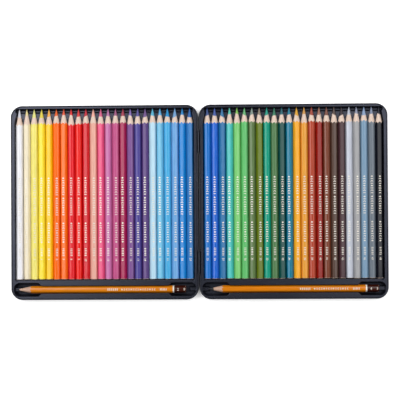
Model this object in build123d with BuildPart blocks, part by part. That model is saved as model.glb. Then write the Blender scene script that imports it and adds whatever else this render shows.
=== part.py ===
from build123d import *
import math
import os

# A flat pencil tin, opened like a book. Two pressed tin halves are joined along the seam by two
# knuckle hinges. Each half holds a formed plastic tray with a row of coloring pencils, and one
# graphite pencil lying crosswise below them.
#
# Frame: X runs across the two halves with the seam at X = 0, +Y runs towards the pencil tips,
# +Z is up, and the tin stands on Z = 0. All sizes are in millimetres and all angles in degrees.

os.makedirs("parts", exist_ok=True)

# Pencils
pencil_length = 175.3
pencil_across_flats = 6.7
pencil_corner_round = 0.85
pencil_end_chamfer = 0.4
coloring_sharpening = 12.3
coloring_tip_radius = 0.4
coloring_core_radius = 1.9
graphite_sharpening = 12.4
graphite_tip_radius = 0.25
hard_graphite_radius = 1.0
soft_graphite_radius = 1.5

# How the pencils lie in the trays
pencils_per_half = 24
lane_gap = 0.18
groove_clearance = 0.2
pencil_below_rims = 0.5
tip_room = 0.2
end_room = 0.3
end_least_gap = 0.1
roll_swing = 9.0
lie_wave_step = 2.4
hard_graphite_shift = -4.0
soft_graphite_shift = -0.5

# Tin halves
tin_sheet = 0.3
half_height = 12.4
corner_radius = 12.0
floor_bend = 2.0
rim_curl_radius = 0.5
rims_apart_when_shut = 0.2
press_inset = 21.0
press_width = 3.0
press_height = 0.5
press_corner_radius = 8.0
press_slope = 40.0

# Hinges
pin_radius = 0.45
pin_clearance = 0.05
pin_head_radius = 0.62
pin_head_thickness = 0.4
pin_head_gap = 0.1
knuckle_length = 7.0
knuckle_gap = 0.25
knuckle_slit = 0.15
hinge_spacing = 124.0
notch_room = 0.3

# Plastic trays
tray_sheet = 0.5
tray_seat_gap = 0.2
flange_below_rim = 0.4
flange_gap = 0.3
flange_round = 0.4
side_margin = 4.6
top_margin = 3.2
bottom_margin = 3.5
ridge_below_axis = 1.8
well_draft = 12.0
well_corner_radius = 2.2
pocket_width = 2.6
pocket_reach = 1.1
channel_width = 7.3
ledge_width = 5.8
ledge_below_axis = 0.8
cone_clearance = 0.3
trench_width = 4.6
trench_depth = 8.0
trench_bottom_round = 2.1
trench_end_inset = 0.3
band_width = 3.5
recess_width = 14.0
recess_length = 28.5
recess_side_margin = 2.6
recess_corner_radius = 6.0
recess_draft = 10.0
stop_length = 5.5
stop_width = 5.4
stop_height = 4.0
stop_draft = 15.0

# The lacquer colors, from the outer edge of the left half to the outer edge of the right half
left_colors = (
    "white ivory lemon_yellow yellow golden_yellow orange light_orange red scarlet crimson "
    "salmon rose_pink lilac magenta burgundy violet indigo dark_violet pale_cyan sky_blue "
    "azure periwinkle blue dark_blue"
).split()
right_colors = (
    "cobalt_blue ultramarine steel_blue turquoise light_green green grey_green olive emerald "
    "mid_green dark_green teal_blue yellow_orange ochre brick_red rust brown dark_brown umber "
    "lavender_grey grey pale_blue_grey slate_grey black"
).split()

# Worked out from the sizes above: pencils and how far apart they lie
pencil_flat_radius = pencil_across_flats / 2
hexagon_radius = pencil_flat_radius / math.cos(math.radians(30))
rounding_centre = (pencil_flat_radius - pencil_corner_round) / math.cos(math.radians(30))
pencil_radius = rounding_centre + pencil_corner_round
pitch = 2 * pencil_radius + lane_gap
groove_radius = pencil_radius + groove_clearance
lanes = [(number - (pencils_per_half - 1) / 2) * pitch for number in range(pencils_per_half)]
well_half_width = lanes[-1] + groove_radius

# The tin's outline goes round what it holds
half_width = 2 * (well_half_width + side_margin)
half_length = (
    top_margin + tip_room + pencil_length + end_room + band_width + recess_width + bottom_margin
)

# Hinge: the wall's sheet curls round the pin, so the bore's radius is half the seam's gap
bore_radius = pin_radius + pin_clearance
knuckle_radius = bore_radius + tin_sheet
half_centre = bore_radius + half_width / 2
hinge_height = half_height + rims_apart_when_shut / 2
knuckle_step = knuckle_length + knuckle_gap
station_length = 2 * knuckle_step + knuckle_length
stations = {"upper": hinge_spacing / 2, "lower": -hinge_spacing / 2}

# Heights and places in the trays
flange_height = half_height - flange_below_rim
flange_inset = 2 * rim_curl_radius + flange_gap
deep_floor = tin_sheet + tray_seat_gap + tray_sheet
pencil_axis = hinge_height - pencil_below_rims - pencil_radius
groove_floor = pencil_axis - groove_radius
tips_y = half_length / 2 - top_margin - tip_room
ends_y = tips_y - pencil_length
well_end_y = ends_y - end_room
trench_y = half_length / 2 - top_margin - trench_width / 2
ledge_y = trench_y - trench_width / 2
channel_y = ledge_y - ledge_width
cone_foot_y = channel_y - cone_clearance
cone_slope = math.tan(math.radians(coloring_sharpening))
shoulder_room = groove_radius - cone_clearance - coloring_tip_radius
shoulder_y = tips_y - shoulder_room / cone_slope
well_flare = (flange_height - pencil_axis) * math.tan(math.radians(well_draft))
recess_y = -half_length / 2 + bottom_margin + recess_width / 2
recess_outer_x = half_width / 2 - recess_side_margin
recess_inner_x = recess_outer_x - recess_length

LEFT = -1
RIGHT = 1
UP = Vector(0, 0, 1)


def across(y):
    """A plane that cuts across the pencils at a place along them. Its Y points up."""
    return Plane(origin=(0, y, 0), x_dir=(1, 0, 0), z_dir=(0, -1, 0))


def rounded_outline(centre_x, inset):
    """The outline of a tin half, drawn in by an inset."""
    with Locations((centre_x, 0)):
        RectangleRounded(half_width - 2 * inset, half_length - 2 * inset, corner_radius - inset)


def wall_section(plane):
    """The tin's sheet in section: bend, wall and inward rolled edge. X points into the tin."""
    curl_height = half_height - rim_curl_radius
    curl_bore = rim_curl_radius - tin_sheet
    with BuildSketch(plane) as section:
        with BuildLine():
            CenterArc((floor_bend, floor_bend), floor_bend, 180, 90)
            Line((0, floor_bend), (0, curl_height))
            CenterArc((rim_curl_radius, curl_height), rim_curl_radius, 180, -270)
            Line(
                (rim_curl_radius, curl_height - rim_curl_radius),
                (rim_curl_radius, curl_height - curl_bore),
            )
            CenterArc((rim_curl_radius, curl_height), curl_bore, -90, 270)
            Line((tin_sheet, curl_height), (tin_sheet, floor_bend))
            CenterArc((floor_bend, floor_bend), floor_bend - tin_sheet, 180, 90)
            Line((floor_bend, tin_sheet), (floor_bend, 0))
        make_face()
    return section.sketch


def pressed_line(centre_x, grow):
    """The narrow line that runs round the floor, pressed up into the tin."""
    inner_inset = press_inset + press_width + grow
    with BuildSketch() as ring:
        with Locations((centre_x, 0)):
            RectangleRounded(
                half_width - 2 * (press_inset - grow),
                half_length - 2 * (press_inset - grow),
                press_corner_radius + grow,
            )
            RectangleRounded(
                half_width - 2 * inner_inset,
                half_length - 2 * inner_inset,
                press_corner_radius - press_width - grow,
                mode=Mode.SUBTRACT,
            )
    return ring.sketch


def knuckle_section(side, y):
    """One knuckle in section: the wall's sheet, curled round the pin until it nearly meets itself."""
    curl_end = bore_radius - knuckle_slit
    leaf_height = knuckle_radius + 2 * notch_room
    with BuildSketch(across(y)) as section:
        with Locations((0, hinge_height)):
            Circle(knuckle_radius)
            Circle(bore_radius, mode=Mode.SUBTRACT)
        with Locations((side * (curl_end + knuckle_radius) / 2, hinge_height - knuckle_radius / 2)):
            Rectangle(knuckle_radius - curl_end, knuckle_radius, mode=Mode.SUBTRACT)
        with Locations((side * (bore_radius + tin_sheet / 2), hinge_height - leaf_height / 2)):
            Rectangle(tin_sheet, leaf_height)
    return section.sketch


def tin_half(side, knuckle_places):
    """One pressed tin half, with its rolled rim and its share of the hinges' knuckles."""
    centre_x = side * half_centre
    with BuildSketch() as outline:
        rounded_outline(centre_x, 0)
    rim_path = outline.sketch.face().outer_wire()
    inward = UP.cross(rim_path % 0)
    notch_depth = knuckle_radius + notch_room
    notch_reach = bore_radius + flange_inset
    notch_length = station_length + 2 * (pin_head_gap + pin_head_thickness + notch_room)
    with BuildPart() as tin:
        wall = wall_section(Plane(origin=rim_path @ 0, x_dir=inward, z_dir=inward.cross(UP)))
        sweep(sections=wall, path=rim_path)
        with BuildSketch():
            rounded_outline(centre_x, floor_bend)
        extrude(amount=tin_sheet)
        slope_growth = tin_sheet / math.cos(math.radians(press_slope))
        extrude(
            pressed_line(centre_x, slope_growth),
            amount=press_height + tin_sheet,
            taper=press_slope,
        )
        extrude(
            pressed_line(centre_x, 0),
            amount=press_height,
            taper=press_slope,
            mode=Mode.SUBTRACT,
        )
        for station_y in stations.values():
            with Locations((side * notch_reach / 2, station_y, hinge_height)):
                Box(notch_reach, notch_length, 2 * notch_depth, mode=Mode.SUBTRACT)
            for place in knuckle_places:
                knuckle = knuckle_section(side, station_y + place * knuckle_step)
                extrude(knuckle, amount=knuckle_length / 2, both=True)
    return tin.part


def hinge_pin(station_y):
    """A wire pin with a flattened head at each end, outside the knuckles."""
    shaft_end = station_length / 2 + pin_head_gap
    head_end = shaft_end + pin_head_thickness
    with BuildPart() as pin:
        with BuildSketch(Plane.XY.offset(hinge_height)):
            with Locations((pin_radius / 2, station_y)):
                Rectangle(pin_radius, 2 * shaft_end)
            with Locations(
                (pin_head_radius / 2, station_y + (shaft_end + head_end) / 2),
                (pin_head_radius / 2, station_y - (shaft_end + head_end) / 2),
            ):
                Rectangle(pin_head_radius, pin_head_thickness)
        revolve(axis=Axis((0, station_y, hinge_height), (0, 1, 0)))
        chamfer(pin.edges().group_by(Axis.Y)[0], pin_head_thickness / 4)
        chamfer(pin.edges().group_by(Axis.Y)[-1], pin_head_thickness / 4)
    return pin.part


def groove_section(plane, centres, half_span, span_middle, open_from, grow):
    """Round grooves side by side, open above a given height up to the flange."""
    with BuildSketch(plane) as section:
        with Locations(*[(centre, pencil_axis) for centre in centres]):
            Circle(groove_radius + grow)
        with Locations((span_middle, (open_from + flange_height) / 2)):
            Rectangle(2 * half_span, flange_height - open_from)
        with Locations((span_middle, flange_height / 2)):
            Rectangle(2 * half_span, flange_height, mode=Mode.INTERSECT)
    return section.sketch


def cone_radius(y):
    """The radius of a coloring pencil's cone at a place along it, with room around it."""
    return coloring_tip_radius + (tips_y - y) * cone_slope + cone_clearance


def well_side(first_y, last_y):
    """One side of the well. From the pencils' shoulders on it runs in along the outer cone."""
    turn_y = min(max(shoulder_y, first_y), last_y)
    places = sorted({first_y, turn_y, last_y})
    return [(lanes[-1] + min(groove_radius, cone_radius(y)), y) for y in places]


def well_outline(centre_x, side_points, height, grow):
    """A part of the well in plan, from the points of its one side."""
    with BuildSketch(Plane.XY.offset(height)) as outline:
        with BuildLine():
            Polyline(
                *[(centre_x + x, y) for x, y in side_points],
                *[(centre_x - x, y) for x, y in reversed(side_points)],
                close=True,
            )
        make_face()
        if grow:
            offset(amount=grow, kind=Kind.INTERSECTION)
    return outline.sketch


def mouth_outline(centre_x, grow):
    """The well's mouth at the flange. Its draft widens it, and its lower corners reach further."""
    end_y = well_end_y - well_flare
    side = [(x + well_flare, y) for x, y in well_side(end_y, trench_y)]
    corner_x = side[0][0]
    side[0] = (corner_x, end_y - pocket_reach)
    side.insert(0, (corner_x - pocket_width, end_y - pocket_reach))
    side.insert(0, (corner_x - pocket_width - pocket_reach, end_y))
    with BuildSketch(Plane.XY.offset(flange_height)) as outline:
        add(well_outline(centre_x, side, 0, 0))
        corners = outline.vertices().group_by(Axis.Y)[0]
        fillet(corners.group_by(Axis.X)[0] + corners.group_by(Axis.X)[-1], well_corner_radius)
        if grow:
            offset(amount=grow, kind=Kind.INTERSECTION)
    return outline.sketch


def trench_form(centre_x, grow):
    """The trench beyond the pencils' tips, with round ends and a round bottom."""
    with BuildPart() as trench:
        with BuildSketch(Plane.XY.offset(flange_height)):
            with Locations((centre_x, trench_y)):
                SlotOverall(
                    2 * (well_half_width - trench_end_inset + grow),
                    trench_width + 2 * grow,
                )
        extrude(amount=-(trench_depth + grow))
        fillet(trench.edges().group_by(Axis.Z)[0], trench_bottom_round + grow)
    return trench.part


def recess_outline(centre_x, end, grow):
    """A finger recess round one end of the graphite pencil, rounded at its outer end."""
    half_recess = recess_width / 2
    neck_x = recess_inner_x + half_recess - groove_radius
    corners = [
        (recess_inner_x, -groove_radius),
        (neck_x, -half_recess),
        (recess_outer_x, -half_recess),
        (recess_outer_x, half_recess),
        (neck_x, half_recess),
        (recess_inner_x, groove_radius),
    ]
    with BuildSketch(Plane.XY.offset(flange_height)) as outline:
        with BuildLine():
            Polyline(*[(centre_x + end * x, recess_y + y) for x, y in corners], close=True)
        make_face()
        outer_corners = outline.vertices().group_by(Axis.X)[-1 if end == RIGHT else 0]
        fillet(outer_corners, recess_corner_radius)
        if grow:
            offset(amount=grow, kind=Kind.INTERSECTION)
    return outline.sketch


def stop_outline(centre_x, end, grow):
    """The raised stop at the outer end of a finger recess, which runs into the recess's wall."""
    wall_lean = (flange_height - deep_floor) * math.tan(math.radians(recess_draft))
    stop_x = recess_outer_x - wall_lean - stop_length + grow
    with BuildSketch(Plane.XY.offset(deep_floor - grow)) as outline:
        with Locations((centre_x + end * (stop_x + half_width / 2) / 2, recess_y)):
            Rectangle(half_width / 2 - stop_x, stop_width - 2 * grow)
    return outline.sketch


def tray_form(centre_x, grow):
    """All that is pressed below a tray's flange. Grown by the sheet, it gives the underside."""
    lane_centres = [centre_x + lane for lane in lanes]
    ledge_floor = pencil_axis - ledge_below_axis - grow
    deep_reach = flange_height - deep_floor + grow
    channel = well_side(channel_y - channel_width, channel_y)
    ledge = well_side(cone_foot_y, trench_y)
    with BuildPart() as form:
        grooves = groove_section(
            across(well_end_y - grow),
            lane_centres,
            well_half_width + grow,
            centre_x,
            pencil_axis - ridge_below_axis - grow,
            grow,
        )
        extrude(grooves, amount=-(shoulder_y - well_end_y + grow))
        extrude(
            well_outline(centre_x, channel, groove_floor - grow, grow),
            amount=flange_height - groove_floor + grow,
        )
        extrude(
            well_outline(centre_x, ledge, ledge_floor, grow),
            amount=flange_height - ledge_floor,
        )
        extrude(
            mouth_outline(centre_x, grow),
            amount=pencil_axis - flange_height - grow,
            taper=well_draft,
        )
        cone_turn = (-90, 0, 0)
        cone_middle = (cone_foot_y + trench_y) / 2
        with Locations(*[Location((x, cone_middle, pencil_axis), cone_turn) for x in lane_centres]):
            Cone(cone_radius(cone_foot_y) + grow, cone_radius(trench_y) + grow, trench_y - cone_foot_y)
        split(bisect_by=Plane.XY.offset(flange_height), keep=Keep.BOTTOM)
        add(trench_form(centre_x, grow))
        crosswise = groove_section(
            Plane.YZ.offset(centre_x),
            [recess_y],
            groove_radius + grow,
            recess_y,
            pencil_axis,
            grow,
        )
        extrude(crosswise, amount=recess_inner_x + recess_width / 2, both=True)
        for end in (LEFT, RIGHT):
            extrude(recess_outline(centre_x, end, grow), amount=-deep_reach, taper=recess_draft)
        for end in (LEFT, RIGHT):
            extrude(
                stop_outline(centre_x, end, grow),
                amount=stop_height,
                taper=stop_draft,
                mode=Mode.SUBTRACT,
            )
    return form.part


def formed_tray(side):
    """A tray formed from plastic sheet: a flat flange, and everything pressed down from it."""
    centre_x = side * half_centre
    with BuildPart() as tray:
        with BuildSketch(Plane.XY.offset(flange_height - tray_sheet)):
            rounded_outline(centre_x, flange_inset)
        extrude(amount=tray_sheet)
        add(tray_form(centre_x, tray_sheet))
        add(tray_form(centre_x, 0), mode=Mode.SUBTRACT)
        flange = tray.faces().filter_by(Plane.XY).group_by(Axis.Z)[-1].sort_by(SortBy.AREA)[-1]
        fillet([edge for wire in flange.inner_wires() for edge in wire.edges()], flange_round)
    return tray.part


def sharpened(plane, sharpening, tip_radius):
    """The round solid that a sharpener and an end trimmer leave of a pencil."""
    outside = pencil_radius + lane_gap
    slope = math.tan(math.radians(sharpening))
    lengthwise = Plane(origin=plane.origin, x_dir=plane.x_dir, z_dir=plane.x_dir.cross(plane.z_dir))
    with BuildPart() as turned:
        with BuildSketch(lengthwise):
            with BuildLine():
                Polyline(
                    (0, 0),
                    (pencil_radius - pencil_end_chamfer, 0),
                    (outside, outside - pencil_radius + pencil_end_chamfer),
                    (outside, pencil_length - (outside - tip_radius) / slope),
                    (tip_radius, pencil_length - tip_radius / 2),
                    (0, pencil_length),
                    close=True,
                )
            make_face()
        revolve(axis=Axis(plane.origin, plane.z_dir))
    return turned.part


def pencil(name, plane, roll, core_radius, sharpening, tip_radius):
    """A sharpened hexagonal pencil: a wooden barrel and the core glued into it."""
    cutter = sharpened(plane, sharpening, tip_radius)
    with BuildPart() as wood:
        with BuildSketch(plane) as hexagon:
            RegularPolygon(hexagon_radius, 6, rotation=roll)
            fillet(hexagon.vertices(), pencil_corner_round)
            Circle(core_radius, mode=Mode.SUBTRACT)
        extrude(amount=pencil_length)
        add(cutter, mode=Mode.INTERSECT)
    with BuildPart() as core:
        with BuildSketch(plane):
            Circle(core_radius)
        extrude(amount=pencil_length)
        add(cutter, mode=Mode.INTERSECT)
    return Compound(label=name, children=[wood.part, core.part])


def save(part, name):
    """Write one piece under its own name."""
    part.label = name
    export_step(part, f"parts/{name}.step")


# Tin halves, hinge pins and trays
save(tin_half(LEFT, (-1, 1)), "base_shell")
save(tin_half(RIGHT, (0,)), "lid_shell")
for place, station_y in stations.items():
    save(hinge_pin(station_y), f"hinge_pin_{place}")
save(formed_tray(LEFT), "base_tray")
save(formed_tray(RIGHT), "lid_tray")

# Coloring pencils, each turned and slipped a little in its groove
number = 0
for side, colors in ((LEFT, left_colors), (RIGHT, right_colors)):
    for lane, color in zip(lanes, colors):
        number += 1
        wave = math.sin(lie_wave_step * number)
        slip = (end_room - end_least_gap) * (1 + wave) / 2
        butt = (side * half_centre + lane, ends_y - slip, pencil_axis)
        along = Plane(origin=butt, x_dir=(1, 0, 0), z_dir=(0, 1, 0))
        name = f"pencil_{number:02d}_{color}"
        roll = roll_swing * wave
        shape = (coloring_core_radius, coloring_sharpening, coloring_tip_radius)
        save(pencil(name, along, roll, *shape), name)

# Graphite pencils, crosswise, with their tips towards the left
for name, side, shift, core_radius in (
    ("graphite_pencil_hard", LEFT, hard_graphite_shift, hard_graphite_radius),
    ("graphite_pencil_soft", RIGHT, soft_graphite_shift, soft_graphite_radius),
):
    butt = (side * half_centre + shift + pencil_length / 2, recess_y, pencil_axis)
    along = Plane(origin=butt, x_dir=(0, 1, 0), z_dir=(-1, 0, 0))
    save(pencil(name, along, 0, core_radius, graphite_sharpening, graphite_tip_radius), name)
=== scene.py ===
import math
import random

import bpy
from mathutils import Matrix, Vector


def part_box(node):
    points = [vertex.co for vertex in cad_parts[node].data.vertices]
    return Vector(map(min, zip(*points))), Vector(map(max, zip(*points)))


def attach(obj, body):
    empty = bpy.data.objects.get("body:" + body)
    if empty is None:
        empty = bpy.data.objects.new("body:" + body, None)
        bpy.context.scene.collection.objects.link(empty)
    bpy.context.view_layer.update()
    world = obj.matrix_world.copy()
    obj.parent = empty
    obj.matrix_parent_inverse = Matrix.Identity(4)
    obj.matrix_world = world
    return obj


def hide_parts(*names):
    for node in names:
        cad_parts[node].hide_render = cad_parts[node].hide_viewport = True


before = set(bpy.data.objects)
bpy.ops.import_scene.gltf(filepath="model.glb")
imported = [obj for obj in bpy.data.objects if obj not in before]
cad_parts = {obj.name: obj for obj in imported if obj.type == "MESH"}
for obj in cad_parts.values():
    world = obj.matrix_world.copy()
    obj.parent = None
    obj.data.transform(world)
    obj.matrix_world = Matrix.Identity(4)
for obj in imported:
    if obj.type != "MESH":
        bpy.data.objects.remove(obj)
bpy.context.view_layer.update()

# A flat pencil tin opened like a book: 48 lacquered coloring pencils lie side by side in two
# black formed trays, and one graphite pencil lies crosswise below each row.
# Sizes are given in millimetres and turned into metres by MM.

MM = 0.001
TAU = 2 * math.pi

# Sizes of the pencils, as in the solids
PENCIL_LENGTH = 175.3
FLAT_RADIUS = 3.35
CORNER_ROUND = 0.85
HALF_SIDE = math.radians(30)
CORNER_CENTRE = (FLAT_RADIUS - CORNER_ROUND) / math.cos(HALF_SIDE)
CORNER_RADIUS = CORNER_CENTRE + CORNER_ROUND
END_CHAMFER = 0.4
TRIMMED = CORNER_RADIUS - END_CHAMFER

# How the pencils lie rolled in their grooves, as in the solids
ROLL_SWING = math.radians(9)
ROLL_STEP = 2.4

# The scene's own: coats of lacquer, which turn the flats outward at their sides, and foil marks
CROWNING = math.radians(7)
LACQUER_THICKNESS = 0.09
FOIL_SINK, FOIL_RISE = 0.01, 0.02
CORE_RADIUS = 1.9
TIP_RADIUS = 0.4

# How finely the hexagon's outline is divided
FLAT_STEPS = 8
CORNER_STEPS = 6

# Lacquer colors of the coloring pencils, by the names in the record's slots
LACQUERS = {
    "white": "F2F1F6",
    "ivory": "EEE1C2",
    "lemon_yellow": "F6EA7A",
    "yellow": "FEE632",
    "golden_yellow": "FECC0C",
    "orange": "FF6E0A",
    "light_orange": "FF700C",
    "red": "E8202A",
    "scarlet": "F1201A",
    "crimson": "D6081E",
    "salmon": "EEB09E",
    "rose_pink": "EC5284",
    "lilac": "C870AB",
    "magenta": "C6548A",
    "burgundy": "A60A4E",
    "violet": "7E5295",
    "indigo": "504699",
    "dark_violet": "56367C",
    "pale_cyan": "BCE0F4",
    "sky_blue": "6EC0E5",
    "azure": "48B0E5",
    "periwinkle": "70AAE2",
    "blue": "0082D3",
    "dark_blue": "2E7AC1",
    "cobalt_blue": "1A75CC",
    "ultramarine": "1E66D2",
    "steel_blue": "1D71A9",
    "turquoise": "44C1BC",
    "light_green": "7ECF76",
    "green": "62C16E",
    "grey_green": "5E7946",
    "olive": "647810",
    "emerald": "009D80",
    "mid_green": "537E4E",
    "dark_green": "004B46",
    "teal_blue": "007A9A",
    "yellow_orange": "F7AB10",
    "ochre": "E9A038",
    "brick_red": "B6462E",
    "rust": "940E00",
    "brown": "7D402B",
    "dark_brown": "553E34",
    "umber": "45272E",
    "lavender_grey": "C6CBD8",
    "grey": "A3A3A5",
    "pale_blue_grey": "7C9DB9",
    "slate_grey": "6E7883",
    "black": "010212",
}

# Cores that differ most from their lacquer. The others are the lacquer's color, softened by a
# share of the clay in them.
CORES = {
    "ivory": "EEDC98",
    "lemon_yellow": "E8E488",
    "golden_yellow": "FBB246",
    "orange": "F2641A",
    "light_orange": "E85A38",
    "red": "E63030",
    "salmon": "F8B4A2",
    "magenta": "A45C86",
    "burgundy": "AA3C52",
    "violet": "846AB4",
    "dark_violet": "745690",
    "pale_cyan": "5ABCE0",
    "sky_blue": "5CAEE4",
    "azure": "1A90D0",
    "dark_blue": "2C68B2",
    "cobalt_blue": "3A5490",
    "ultramarine": "405AA6",
    "turquoise": "5CCAB4",
    "light_green": "8AC85C",
    "grey_green": "869890",
    "olive": "8C8070",
    "mid_green": "347C60",
    "dark_green": "286A76",
    "brick_red": "A84A38",
    "rust": "A27260",
    "umber": "3C3238",
    "grey": "9298AE",
    "pale_blue_grey": "8CA4C8",
    "slate_grey": "8490AA",
}
CORE_SOFTNESS = 0.2
CLAY = "8A92A4"


# Camera, at the photograph's place

SENSOR_WIDTH = 36


def camera_at(place, turns, lens):
    """A camera looking down at the open tin. The turns are in degrees about X, Y and Z."""
    data = bpy.data.cameras.new("camera")
    data.sensor_width = SENSOR_WIDTH
    data.lens = lens
    camera = bpy.data.objects.new("camera", data)
    camera.location = Vector(place) * MM
    camera.rotation_euler = [math.radians(turn) for turn in turns]
    bpy.context.scene.collection.objects.link(camera)
    bpy.context.scene.camera = camera


camera_at(place=(45.46, -16.33, 1400), turns=(0.744, 1.827, -0.339), lens=121.8)


# Materials

# Noise stays mostly between these values
CLOUD_RANGE = {"From Min": 0.3, "From Max": 0.7}
CLOUD_DETAIL = 4.0
RELIEF_DETAIL = 2.0


def linear(code):
    """An sRGB hex color as the linear color that shaders work in."""
    channels = [int(code[place : place + 2], 16) / 255 for place in (0, 2, 4)]
    return [c / 12.92 if c <= 0.04045 else ((c + 0.055) / 1.055) ** 2.4 for c in channels] + [1]


def scaled(code, factor):
    """An sRGB hex color made darker or lighter by a factor."""
    channels = [int(code[place : place + 2], 16) for place in (0, 2, 4)]
    return "".join(f"{min(255, round(channel * factor)):02X}" for channel in channels)


def mixed(code, other, share):
    """An sRGB hex color with a share of another."""
    pairs = [(int(code[i : i + 2], 16), int(other[i : i + 2], 16)) for i in (0, 2, 4)]
    return "".join(f"{round(one + (two - one) * share):02X}" for one, two in pairs)


def per(sizes):
    """A pattern's scale along X, Y and Z from the sizes of its features in millimetres."""
    return [1000 / size for size in sizes]


def add(tree, kind, inputs=None, **settings):
    """Adds a node with its settings. Each input gets a value or another node's output."""
    new = tree.nodes.new(kind)
    for name, value in settings.items():
        setattr(new, name, value)
    for name, value in (inputs or {}).items():
        if isinstance(value, bpy.types.NodeSocket):
            tree.links.new(value, new.inputs[name])
        else:
            new.inputs[name].default_value = value
    return new


def finish(name, colors, mottle, relief, depth, roughness, **constants):
    """A finish of two close colors clouded into each other, under a fine relief.

    mottle and relief are the sizes of their features along X, Y and Z, and depth is the relief's
    height. roughness is the range that the clouding gives.
    """
    material = bpy.data.materials.new(name)
    material.use_nodes = True
    tree = material.node_tree
    tree.nodes.clear()
    place = add(tree, "ShaderNodeTexCoord").outputs["Object"]
    cloud_place = add(tree, "ShaderNodeMapping", {"Vector": place, "Scale": per(mottle)})
    cloud = add(
        tree,
        "ShaderNodeTexNoise",
        {"Vector": cloud_place.outputs["Vector"], "Scale": 1.0, "Detail": CLOUD_DETAIL},
    ).outputs["Fac"]
    color = add(tree, "ShaderNodeMapRange", {"Value": cloud, **CLOUD_RANGE})
    blend = add(tree, "ShaderNodeMix", {"Factor": color.outputs["Result"]}, data_type="RGBA")
    blend.inputs["A"].default_value = linear(colors[0])
    blend.inputs["B"].default_value = linear(colors[1])
    gloss = add(
        tree,
        "ShaderNodeMapRange",
        {"Value": cloud, **CLOUD_RANGE, "To Min": roughness[0], "To Max": roughness[1]},
    )
    relief_place = add(tree, "ShaderNodeMapping", {"Vector": place, "Scale": per(relief)})
    bumps = add(
        tree,
        "ShaderNodeTexNoise",
        {"Vector": relief_place.outputs["Vector"], "Scale": 1.0, "Detail": RELIEF_DETAIL},
    )
    raised = add(
        tree,
        "ShaderNodeBump",
        {"Height": bumps.outputs["Fac"], "Distance": depth * MM, "Strength": 1.0},
    )
    surface = {
        "Base Color": blend.outputs["Result"],
        "Roughness": gloss.outputs["Result"],
        "Normal": raised.outputs["Normal"],
    }
    shader = add(tree, "ShaderNodeBsdfPrincipled", {**surface, **constants})
    add(tree, "ShaderNodeOutputMaterial", {"Surface": shader.outputs["BSDF"]})
    return material


def lacquer_of(color, code):
    """Nitrocellulose lacquer dipped over wood: glossy, with the grain faintly raised under it.

    The grain's vessels, some 0.1 mm wide, are too fine to show and are drawn 0.5 mm wide.
    """
    return finish(
        f"{color} lacquer",
        (code, scaled(code, 0.94)),
        mottle=(1.5, 14, 1.5),
        relief=(0.5, 9, 0.5),
        depth=0.004,
        roughness=(0.07, 0.12),
        IOR=1.46,
    )


def core_of(color, code):
    """Waxy pigment core: softer than the lacquer, dull, with the sharpener's fine turning marks.

    The marks, some 0.1 mm apart, are drawn 0.25 mm apart, to show.
    """
    waxy = CORES.get(color, mixed(code, CLAY, CORE_SOFTNESS))
    return finish(
        f"{color} core",
        (waxy, scaled(waxy, 0.92)),
        mottle=(0.8, 0.8, 0.8),
        relief=(1.2, 0.25, 1.2),
        depth=0.02,
        roughness=(0.42, 0.58),
        IOR=1.45,
    )


# Light basswood, planed and sharpened: pale and dull, with thin darker grain along it, drawn
# 0.5 mm wide where the real vessels are some 0.1 mm, to show
wood = finish(
    "sharpened basswood",
    ("E6D0C1", "D8BFAE"),
    mottle=(0.5, 9, 0.5),
    relief=(0.25, 5, 0.25),
    depth=0.02,
    roughness=(0.55, 0.7),
)
wood_crosswise = finish(
    "sharpened basswood lying crosswise",
    ("CCAA96", "B8947E"),
    mottle=(9, 0.5, 0.5),
    relief=(5, 0.25, 0.25),
    depth=0.02,
    roughness=(0.55, 0.7),
)
# Hot stamped foil: bright and metallic, worn thin in specks, drawn 0.4 mm wide to show
foil = finish(
    "stamped silver foil",
    ("F2EBDE", "D2CCC0"),
    mottle=(0.4, 0.4, 0.4),
    relief=(0.2, 0.2, 0.2),
    depth=0.01,
    roughness=(0.35, 0.5),
    Metallic=0.5,
)
# Pressed tinplate under stoved black lacquer: satin, with a faint orange peel of 1.6 mm
tinplate = finish(
    "black lacquered tinplate",
    ("0E0F15", "0A0B10"),
    mottle=(25, 25, 25),
    relief=(1.6, 1.6, 1.6),
    depth=0.015,
    roughness=(0.32, 0.35),
    **{"IOR": 1.62, "Specular Tint": (0.76, 0.8, 1.0, 1.0)},
)
# Vacuum formed polystyrene sheet: black, smooth, softly waved by the forming each 9 mm
polystyrene = finish(
    "black formed polystyrene",
    ("15161F", "12131B"),
    mottle=(18, 18, 18),
    relief=(9, 9, 9),
    depth=0.01,
    roughness=(0.23, 0.28),
    **{"IOR": 1.62, "Specular Tint": (0.72, 0.77, 1.0, 1.0)},
)


def dull_below(material, level, full, roughness, short_of):
    """Turns a finish matt where the sheet was drawn deep, from a level down to a lower one.

    Under the cones and tips, beyond a place along Y, it keeps its gloss.
    """
    tree = material.node_tree
    shader = tree.nodes["Principled BSDF"]
    object_place = add(tree, "ShaderNodeTexCoord").outputs["Object"]
    place = add(tree, "ShaderNodeSeparateXYZ", {"Vector": object_place}).outputs
    drawn = add(
        tree,
        "ShaderNodeMapRange",
        {"Value": place["Z"], "From Min": level * MM, "From Max": full * MM},
    )
    inside = add(tree, "ShaderNodeMath", {0: place["Y"], 1: short_of * MM}, operation="LESS_THAN")
    share = add(
        tree,
        "ShaderNodeMath",
        {0: drawn.outputs["Result"], 1: inside.outputs["Value"]},
        operation="MULTIPLY",
    )
    gloss = shader.inputs["Roughness"].links[0].from_socket
    dulled = add(
        tree,
        "ShaderNodeMapRange",
        {"Value": share.outputs["Value"], "To Min": gloss, "To Max": roughness},
    )
    tree.links.new(dulled.outputs["Result"], shader.inputs["Roughness"])


dull_below(polystyrene, level=4.9, full=4.4, roughness=0.62, short_of=70)

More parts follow.
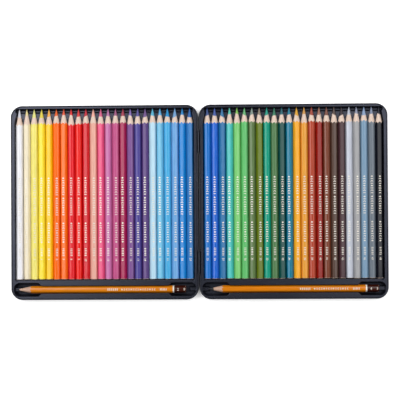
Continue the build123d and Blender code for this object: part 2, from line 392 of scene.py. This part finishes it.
# Drawn steel wire, lacquered with the tin: dark and satin, faintly streaked along its length
wire = finish(
    "lacquered steel wire",
    ("2A2B30", "1D1E22"),
    mottle=(1, 3, 1),
    relief=(0.3, 2, 0.3),
    depth=0.01,
    roughness=(0.3, 0.42),
)
# Lead of graphite and clay: dark grey with a dull metallic shine, turned by the sharpener
graphite = finish(
    "graphite lead",
    ("3E3E42", "2C2C30"),
    mottle=(0.8, 0.4, 0.4),
    relief=(0.25, 0.8, 0.8),
    depth=0.015,
    roughness=(0.35, 0.48),
    Metallic=0.5,
)


def crosswise_lacquer(name, code):
    """The same lacquer on a barrel that lies along X."""
    return finish(
        name,
        (code, scaled(code, 0.94)),
        mottle=(14, 1.5, 1.5),
        relief=(9, 0.5, 0.5),
        depth=0.006,
        roughness=(0.1, 0.16),
        IOR=1.46,
    )


# Warm ochre barrels, a thin white painted line, and a dark brown dipped end, all glossy
graphite_lacquer = crosswise_lacquer("ochre lacquer", "DC7E06")
band_lacquer = crosswise_lacquer("white band lacquer", "F0EDE6")
cap_lacquer = crosswise_lacquer("dark brown dipped lacquer", "3A1208")


# Shapes of the pencils. A pencil's own frame has its butt at the origin, +Y towards the tip and
# a flat facing up.


def heading(turn):
    """The direction across the pencil at an angle."""
    return Vector((math.cos(turn), 0, math.sin(turn)))


def hexagon_outline():
    """Points round a pencil, from flat to rounded corner and on, with their outward directions.

    The coats of lacquer crown the flats: they turn outward by CROWNING at both sides.
    """
    points = []
    half_flat = CORNER_CENTRE * math.sin(HALF_SIDE) + CORNER_ROUND * math.sin(CROWNING)
    flat_side = FLAT_RADIUS - CORNER_ROUND * (1 - math.cos(CROWNING))
    bulge = half_flat * math.tan(CROWNING) / 2
    for side in range(6):
        facing = math.radians(30 + 60 * side)
        for step in range(FLAT_STEPS + 1):
            shift = 2 * step / FLAT_STEPS - 1
            away = heading(facing) * (flat_side + bulge * (1 - shift * shift))
            sideways = heading(facing + TAU / 4) * half_flat * shift
            points.append((away + sideways, heading(facing + CROWNING * shift)))
        corner = heading(facing + HALF_SIDE) * CORNER_CENTRE
        for step in range(1, CORNER_STEPS):
            turn = CROWNING + (2 * HALF_SIDE - 2 * CROWNING) * step / CORNER_STEPS
            direction = heading(facing + turn)
            points.append((corner + direction * CORNER_ROUND, direction))
    return points


OUTLINE = hexagon_outline()
COLUMNS = len(OUTLINE)
FLAT_TOP = max(place.z for place, outward in OUTLINE)


def ring(depth, height):
    """A ring round the pencil, sunk into it by a depth.

    Its height along the pencil is one for all columns or a list with one for each.
    """
    heights = height if isinstance(height, list) else [height] * COLUMNS
    return [
        point - outward * depth + Vector((0, along, 0))
        for (point, outward), along in zip(OUTLINE, heights)
    ]


def round_ring(radius, height):
    """A ring of a round form. Its radius and height, too, are one or a list for the columns."""
    radii = radius if isinstance(radius, list) else [radius] * COLUMNS
    heights = height if isinstance(height, list) else [height] * COLUMNS
    return [
        point.normalized() * across + Vector((0, along, 0))
        for (point, outward), across, along in zip(OUTLINE, radii, heights)
    ]


def skin(rings, joined):
    """Faces between rings. The last ring joins the first, or else both ends are closed."""
    count = len(rings)
    vertices = [point for points in rings for point in points]
    faces = []
    for row in range(count if joined else count - 1):
        here, there = row * COLUMNS, (row + 1) % count * COLUMNS
        for column in range(COLUMNS):
            beside = (column + 1) % COLUMNS
            faces.append((here + column, there + column, there + beside, here + beside))
    if not joined:
        faces.append(tuple(range(COLUMNS)))
        last = (count - 1) * COLUMNS
        faces.append(tuple(last + column for column in reversed(range(COLUMNS))))
    return vertices, faces


# Edges turned by more than this are shaded sharp
EDGE_ANGLE = math.radians(35)


def piece(name, shells, material, place, body, slot, nodes):
    """Makes one piece of closed shells, lays it in its place and ties it to its body."""
    vertices, faces = [], []
    for shell_vertices, shell_faces in shells:
        first = len(vertices)
        vertices += [place @ (Vector(vertex) * MM) for vertex in shell_vertices]
        faces += [tuple(first + corner for corner in face) for face in shell_faces]
    mesh = bpy.data.meshes.new(name)
    mesh.from_pydata(vertices, [], faces)
    mesh.update()
    mesh.shade_smooth()
    mesh.set_sharp_from_angle(angle=EDGE_ANGLE)
    mesh.materials.append(material)
    made = bpy.data.objects.new(name, mesh)
    bpy.context.scene.collection.objects.link(made)
    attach(made, body)
    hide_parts(*nodes)


class Point:
    """The cone that a sharpener leaves, and where lacquer, wood and core end on it."""

    def __init__(self, angle, tip_radius):
        self.slope = math.tan(angle)
        self.tip_radius = tip_radius
        self.tip = PENCIL_LENGTH - tip_radius / 2

    def height(self, radius):
        """How far along the pencil the cone has a radius."""
        return self.tip - (radius - self.tip_radius) / self.slope

    def radius(self, height):
        """The cone's radius at a height along the pencil."""
        return self.tip_radius + (self.tip - height) * self.slope

    def edge(self, depth):
        """Where the cone leaves the hexagon sunk by a depth, for each column."""
        return [self.height((point - outward * depth).length) for point, outward in OUTLINE]


def beyond(heights, shift):
    """Heights along the pencil, each moved by a shift."""
    return [along + shift for along in heights]


def sleeve(point, start):
    """The skin of lacquer from its start on, cut to scallops by the sharpener."""
    soft, shoulder = 0.03, 0.4
    outer_edge = point.edge(0)
    inner_edge = point.edge(LACQUER_THICKNESS)
    rings = [
        ring(soft, start),
        ring(0, beyond(start, 2 * soft)),
        ring(0, beyond(start, 4 * soft)),
        ring(0, beyond(outer_edge, -shoulder)),
        ring(0, beyond(outer_edge, -2 * soft)),
        ring(soft, point.edge(soft)),
        ring(LACQUER_THICKNESS, inner_edge),
        ring(LACQUER_THICKNESS, start),
    ]
    return skin(rings, joined=True)


def core_edge(length, slant, facing):
    """Where the wood gives way to the core, for each column.

    It is slanted where the core sits off the middle, and a little ragged.
    """
    rag, rags = 0.12, 7
    edge = []
    for place, outward in OUTLINE:
        turn = math.atan2(place.z, place.x)
        slanted = PENCIL_LENGTH - length + slant * math.cos(turn - facing)
        edge.append(slanted + rag * math.sin(rags * turn + 5 * facing))
    return edge


def widths(depth):
    """How far each column of the hexagon, sunk by a depth, is from the middle."""
    return [(place - outward * depth).length for place, outward in OUTLINE]


def trim(depth, start):
    """Where the trimmed butt meets the hexagon sunk by a depth, for each column."""
    return [start + max(0.0, width - TRIMMED) for width in widths(depth)]


def sharpened_wood(point, edge, core_radius, butt_end=0):
    """The bare wood: the sawn butt round the core's seat, and the cone up to the core's edge."""
    lacquer = LACQUER_THICKNESS
    hidden, seat = 0.2, butt_end + 0.35
    butt = [min(width, TRIMMED) for width in widths(lacquer)]
    inner_edge = point.edge(lacquer)
    between = [(a + b) / 2 for a, b in zip(inner_edge, edge)]
    rings = [
        round_ring(hidden, seat),
        round_ring(core_radius, seat),
        round_ring(core_radius, butt_end),
        round_ring(butt, butt_end),
        ring(lacquer, trim(lacquer, butt_end)),
        ring(lacquer, inner_edge),
        round_ring([point.radius(along) for along in between], between),
        round_ring([point.radius(along) for along in edge], edge),
        round_ring(hidden, min(edge) - 1),
    ]
    return skin(rings, joined=False)


def core_tip(point, edge):
    """The bare core, from its edge with the wood to the rounded tip."""
    hidden, low = 0.2, max(edge) + 0.4
    rings = [
        round_ring(hidden, min(edge) - 0.9),
        round_ring([point.radius(along) for along in edge], edge),
        round_ring(point.radius(low), low),
    ]
    for share in (0.6, 0.8, 1):
        along = low + (point.tip - low) * share
        rings.append(round_ring(point.radius(along), along))
    for turn in (30, 60, 80):
        angle = math.radians(turn)
        rings.append(
            round_ring(
                point.tip_radius * math.cos(angle),
                point.tip + point.tip_radius / 2 * math.sin(angle),
            )
        )
    return skin(rings, joined=False)


def core_butt(core_radius):
    """The core's sawn end, a hair below the wood's."""
    snug = core_radius - 0.03
    rings = [round_ring(core_radius - 0.3, 0.04), round_ring(snug, 0.07), round_ring(snug, 0.34)]
    return skin(rings, joined=False)


# Stamped marks on the upper flat. They run from the tip's side towards the butt, their tops
# towards +X in the pencil's own frame.


def plate(corners):
    """A flat mark, as thin as foil, from its corners as (along, across)."""
    low, high = FLAT_TOP - FOIL_SINK, FLAT_TOP + FOIL_RISE
    count = len(corners)
    vertices = [(across, along, level) for level in (low, high) for along, across in corners]
    faces = [tuple(range(count)), tuple(range(2 * count - 1, count - 1, -1))]
    for corner in range(count):
        beside = (corner + 1) % count
        faces.append((corner, beside, count + beside, count + corner))
    return vertices, faces


def bar(along, length, tall):
    """A short bar across the flat."""
    half = tall / 2
    return plate([(along, -half), (along, half), (along - length, half), (along - length, -half)])


def lozenge(along, length, tall):
    """A lozenge, pointing along the pencil."""
    middle = along - length / 2
    return plate([(along, 0), (middle, tall / 2), (along - length, 0), (middle, -tall / 2)])


def chevron(along, length, tall, arm):
    """A chevron, pointing towards the tip."""
    half = tall / 2
    return plate(
        [
            (along, 0),
            (along - length + arm, half),
            (along - length, half),
            (along - arm, 0),
            (along - length, -half),
            (along - length + arm, -half),
        ]
    )


# How much larger a font's size is than its digits
FONT_SCALE = 1.36
FOIL_HALF = (FOIL_SINK + FOIL_RISE) / 2
FOIL_SPREAD = 0.04


def numeral(number, along, tall):
    """A plain number, read with the tip on the left."""
    writing = bpy.data.curves.new("numeral", "FONT")
    writing.body = str(number)
    writing.size = tall * FONT_SCALE
    writing.extrude = FOIL_HALF
    writing.offset = FOIL_SPREAD
    writing.resolution_u = 3
    holder = bpy.data.objects.new("numeral", writing)
    bpy.context.scene.collection.objects.link(holder)
    bpy.context.view_layer.update()
    written = holder.evaluated_get(bpy.context.evaluated_depsgraph_get())
    mesh = bpy.data.meshes.new_from_object(written)
    middle = FLAT_TOP + FOIL_HALF - FOIL_SINK
    vertices = [
        (vertex.co.y - tall / 2, along - vertex.co.x, middle + vertex.co.z)
        for vertex in mesh.vertices
    ]
    faces = [tuple(reversed(face.vertices)) for face in mesh.polygons]
    bpy.data.objects.remove(holder)
    bpy.data.curves.remove(writing)
    bpy.data.meshes.remove(mesh)
    return vertices, faces


def border(start, marks):
    """A plain stamped border of lozenges, bars and chevrons in turn."""
    pace, length, tall, arm = 2.4, 1.8, 2.4, 0.8
    bar_inset, bar_length, bar_tall = 0.6, 0.7, 2.3
    shells = []
    for count in range(marks):
        along = start - pace * count
        if count % 4 == 0:
            shells.append(lozenge(along, length, tall))
        elif count % 4 == 2:
            shells.append(chevron(along, length, tall, arm))
        else:
            shells.append(bar(along - bar_inset, bar_length, bar_tall))
    return shells


def bars(start, count, pace, length, tall):
    """A row of bars, each a pace nearer the butt than the last."""
    return [bar(start - pace * place, length, tall) for place in range(count)]


def coloring_marks(number):
    """The marks of a coloring pencil: three borders, bars and its number."""
    shells = border(104.9, 8) + border(84.2, 8) + border(58.4, 9)
    shells += bars(31.6, count=5, pace=1.7, length=0.7, tall=2.1)
    return shells + [numeral(number, along=21.3, tall=2.1)]


def graphite_marks(number):
    """The marks of a graphite pencil: a border between bars, and a number on the cap."""
    shells = bars(81, count=6, pace=1.9, length=1.0, tall=2.2)
    shells += border(67, 15)
    shells += bars(27, count=5, pace=1.5, length=0.8, tall=2.2)
    # The last bar, pale foil near the cap's end, is a painted highlight on the dipped end's
    # rounding
    return shells + [numeral(number, along=9.4, tall=2.7), bar(2.5, length=0.7, tall=2.6)]


def lay(node, turn, roll):
    """Where a pencil lies: its butt's middle, its turn from Y and its roll, as in its solid."""
    low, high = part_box(node)
    middle = (low + high) / 2
    reach = Vector((-math.sin(turn), math.cos(turn), 0)) * PENCIL_LENGTH / 2 * MM
    turned = Matrix.Rotation(turn, 4, "Z") @ Matrix.Rotation(roll, 4, "Y")
    return Matrix.Translation(middle - reach) @ turned


# Coloring pencils. Each is sharpened at its own angle, and its core ends at its own place and
# slant, as cores do that sit off the middle. A sawn butt leaves the lacquer a little back.

SHARPENING = (10.7, 12.4)
BARE_CORE = (6.6, 8.9)
CORE_SLANT = (0.1, 1.4)
SAWN_BACK = 0.06

draw = random.Random(48)
sharpening = random.Random(41171)
for number, (color, code) in enumerate(LACQUERS.items(), 1):
    node = f"pencil_{number:02d}_{color}"
    color_slot = f"{color}_lacquer"
    roll = ROLL_SWING * math.sin(ROLL_STEP * number)
    tie = (lay(node, 0, roll), f"pencil_{number:02d}")
    point = Point(math.radians(sharpening.uniform(*SHARPENING)), TIP_RADIUS)
    edge = core_edge(draw.uniform(*BARE_CORE), draw.uniform(*CORE_SLANT), draw.uniform(0, TAU))
    for name, shells, material, slot in (
        ("lacquer", [sleeve(point, trim(0, SAWN_BACK))], lacquer_of(color, code), color_slot),
        ("wood", [sharpened_wood(point, edge, CORE_RADIUS)], wood, "bare_pencil_wood"),
        ("core", [core_tip(point, edge), core_butt(CORE_RADIUS)], core_of(color, code), color_slot),
        ("marks", coloring_marks(number), foil, "foil_marks"),
    ):
        piece(f"{name}_{number:02d}", shells, material, *tie, slot, [node])

# Graphite pencils, with a dipped cap over the butt and a painted band where it ends

BAND_START, BAND_END = 12.4, 13.9
BAND_RISE = 0.015
CAPPED_BUTT = 0.7


def cap():
    """The dipped end: a skin of thick lacquer. The rings' depths and heights round its end."""
    rings = [
        round_ring(0.3, 0.0),
        round_ring(2.3, 0.03),
        ring(0.6, 0.16),
        ring(0.22, 0.5),
        ring(0.04, 1.0),
        ring(0, 1.6),
        ring(0, BAND_START),
        ring(LACQUER_THICKNESS, BAND_START),
        ring(LACQUER_THICKNESS, 1.0),
        round_ring(0.3, 0.4),
    ]
    return skin(rings, joined=False)


def band():
    """A narrow painted band between cap and barrel."""
    slope = 0.2
    rings = [
        ring(0, BAND_START),
        ring(-BAND_RISE, BAND_START + slope),
        ring(-BAND_RISE, BAND_END - slope),
        ring(0, BAND_END),
        ring(LACQUER_THICKNESS, BAND_END),
        ring(LACQUER_THICKNESS, BAND_START),
    ]
    return skin(rings, joined=True)


point = Point(math.radians(12.4), tip_radius=0.25)
for grade, lead_radius, bare_lead, number in (("hard", 1.0, 3.2, 2), ("soft", 1.5, 6.0, 4)):
    node = f"graphite_pencil_{grade}"
    tie = (lay(node, math.radians(90), 0), node)
    edge = core_edge(bare_lead, slant=0.3, facing=1.0)
    bare = sharpened_wood(point, edge, lead_radius, CAPPED_BUTT)
    paint_slot = "graphite_pencil_lacquer"
    for name, shells, material, slot in (
        ("lacquer", [sleeve(point, [BAND_END] * COLUMNS)], graphite_lacquer, paint_slot),
        ("band", [band()], band_lacquer, paint_slot),
        ("cap", [cap()], cap_lacquer, paint_slot),
        ("wood", [bare], wood_crosswise, "bare_pencil_wood"),
        ("lead", [core_tip(point, edge)], graphite, "graphite_core"),
        ("marks", graphite_marks(number), foil, "foil_marks"),
    ):
        piece(f"{grade}_{name}", shells, material, *tie, slot, [node])

# The tin, its trays and hinge wires keep their solids' shapes
for names, material in (
    (("base_shell", "lid_shell"), tinplate),
    (("base_tray", "lid_tray"), polystyrene),
    (("hinge_pin_upper", "hinge_pin_lower"), wire),
):
    for name in names:
        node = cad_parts[name]
        node.data.materials.clear()
        node.data.materials.append(material)


# Floor, world and lamps, in metres and watts

# The painted shade along the seam between the halves, a strip where the floor gets no glow: its
# width, length and, without limit, height in millimetres, and where its edge is as shares of them
SEAM_SHADE = (10, 200, 1000)
SEAM_SHADE_EDGE = {"From Min": 0.44, "From Max": 0.5}
NEAR_GLOW = 0.55
FAR_OFF = {"From Min": 0.5, "From Max": 1.6}
FLOOR_REACH = 4


def mirrored(tree, path):
    """Whether a ray was mirrored by a surface or went through clear glass."""
    return add(
        tree,
        "ShaderNodeMath",
        {0: path["Is Glossy Ray"], 1: path["Is Transmission Ray"]},
        operation="MAXIMUM",
    ).outputs["Value"]


def floor():
    """A plain white floor, seen brighter by camera and mirrors, fully so far off from the tin.

    Along the seam between the halves it gets no glow: painted shade, where the tin shades the gap.
    """
    material = bpy.data.materials.new("white floor")
    material.use_nodes = True
    tree = material.node_tree
    tree.nodes.clear()
    path = add(tree, "ShaderNodeLightPath").outputs
    seen = add(
        tree,
        "ShaderNodeMath",
        {0: path["Is Camera Ray"], 1: mirrored(tree, path)},
        operation="MAXIMUM",
    ).outputs["Value"]
    place = add(tree, "ShaderNodeTexCoord").outputs["Object"]
    # Painted shade: no glow in a strip along the seam between the halves
    seam_shade = add(tree, "ShaderNodeVectorMath", {0: place, 1: per(SEAM_SHADE)}, operation="MULTIPLY")
    outward = add(tree, "ShaderNodeVectorMath", {0: seam_shade.outputs["Vector"]}, operation="ABSOLUTE")
    sides = add(tree, "ShaderNodeSeparateXYZ", {"Vector": outward.outputs["Vector"]}).outputs
    edge = add(tree, "ShaderNodeMath", {0: sides["X"], 1: sides["Y"]}, operation="MAXIMUM")
    near = add(
        tree,
        "ShaderNodeMapRange",
        {"Value": edge.outputs["Value"], **SEAM_SHADE_EDGE, "To Max": NEAR_GLOW},
    )
    reached = add(tree, "ShaderNodeVectorMath", {0: place}, operation="LENGTH").outputs["Value"]
    far = add(
        tree,
        "ShaderNodeMapRange",
        {"Value": reached, **FAR_OFF, "To Min": near.outputs["Result"]},
    )
    glow = add(tree, "ShaderNodeMath", {0: seen, 1: far.outputs["Result"]}, operation="MULTIPLY")
    shader = add(
        tree,
        "ShaderNodeBsdfPrincipled",
        {
            "Base Color": linear("FAFAFA"),
            "Roughness": 0.9,
            "Specular IOR Level": 0.0,
            "Emission Color": linear("FFFFFF"),
            "Emission Strength": glow.outputs["Value"],
        },
    )
    add(tree, "ShaderNodeOutputMaterial", {"Surface": shader.outputs["BSDF"]})
    mesh = bpy.data.meshes.new("floor")
    corners = [
        (across * FLOOR_REACH, along * FLOOR_REACH, 0)
        for across, along in ((-1, -1), (1, -1), (1, 1), (-1, 1))
    ]
    mesh.from_pydata(corners, [], [(0, 1, 2, 3)])
    mesh.materials.append(material)
    made = bpy.data.objects.new("floor", mesh)
    bpy.context.scene.collection.objects.link(made)


# How high the white backdrop reaches and where the room above it begins, as a direction's Z
BACKDROP_TOP = {"From Min": 0.04, "From Max": 0.12}


def surround(fill, dim):
    """A surround that the camera sees as white, and that gives a fill light.

    Reflections and clear glass show its white backdrop near the horizon, and a dim room above it.
    """
    world = bpy.data.worlds.new("surround")
    bpy.context.scene.world = world
    world.use_nodes = True
    tree = world.node_tree
    tree.nodes.clear()
    path = add(tree, "ShaderNodeLightPath").outputs
    direction = add(tree, "ShaderNodeTexCoord").outputs["Generated"]
    height = add(tree, "ShaderNodeSeparateXYZ", {"Vector": direction}).outputs["Z"]
    backdrop = add(
        tree,
        "ShaderNodeMapRange",
        {"Value": height, **BACKDROP_TOP, "To Min": 1.0, "To Max": dim},
    ).outputs["Result"]
    unseen = add(
        tree,
        "ShaderNodeMapRange",
        {"Value": mirrored(tree, path), "To Min": fill, "To Max": backdrop},
    )
    strength = add(
        tree,
        "ShaderNodeMapRange",
        {"Value": path["Is Camera Ray"], "To Min": unseen.outputs["Result"], "To Max": 1.0},
    )
    light = add(
        tree,
        "ShaderNodeBackground",
        {"Color": linear("FFFFFF"), "Strength": strength.outputs["Result"]},
    )
    add(tree, "ShaderNodeOutputWorld", {"Surface": light.outputs["Background"]})


def softbox(name, place, size, power):
    """A soft box lamp aimed at the middle of the tin, with its long side along the pencils."""
    data = bpy.data.lights.new(name, "AREA")
    data.shape = "RECTANGLE"
    data.size, data.size_y = size
    data.energy = power
    lamp = bpy.data.objects.new(name, data)
    lamp.location = place
    away = Vector(place).normalized()
    across = Vector((0, 1, 0)).cross(away).normalized()
    along = away.cross(across)
    lamp.rotation_euler = Matrix((across, along, away)).transposed().to_euler()
    bpy.context.scene.collection.objects.link(lamp)


floor()
surround(fill=0.26, dim=0.12)
softbox("softbox left", place=(-0.6, 0.5, 1.31), size=(0.95, 1.4), power=13)
softbox("softbox right", place=(0.545, 0.5, 1.31), size=(0.9, 1.4), power=8)
softbox("softbox low left", place=(-1.5, 0.2, 0.75), size=(0.7, 1.2), power=5)
softbox("softbox low right", place=(1.5, 0.2, 0.75), size=(0.7, 1.2), power=5)
bpy.context.scene.view_settings.view_transform = "Standard"
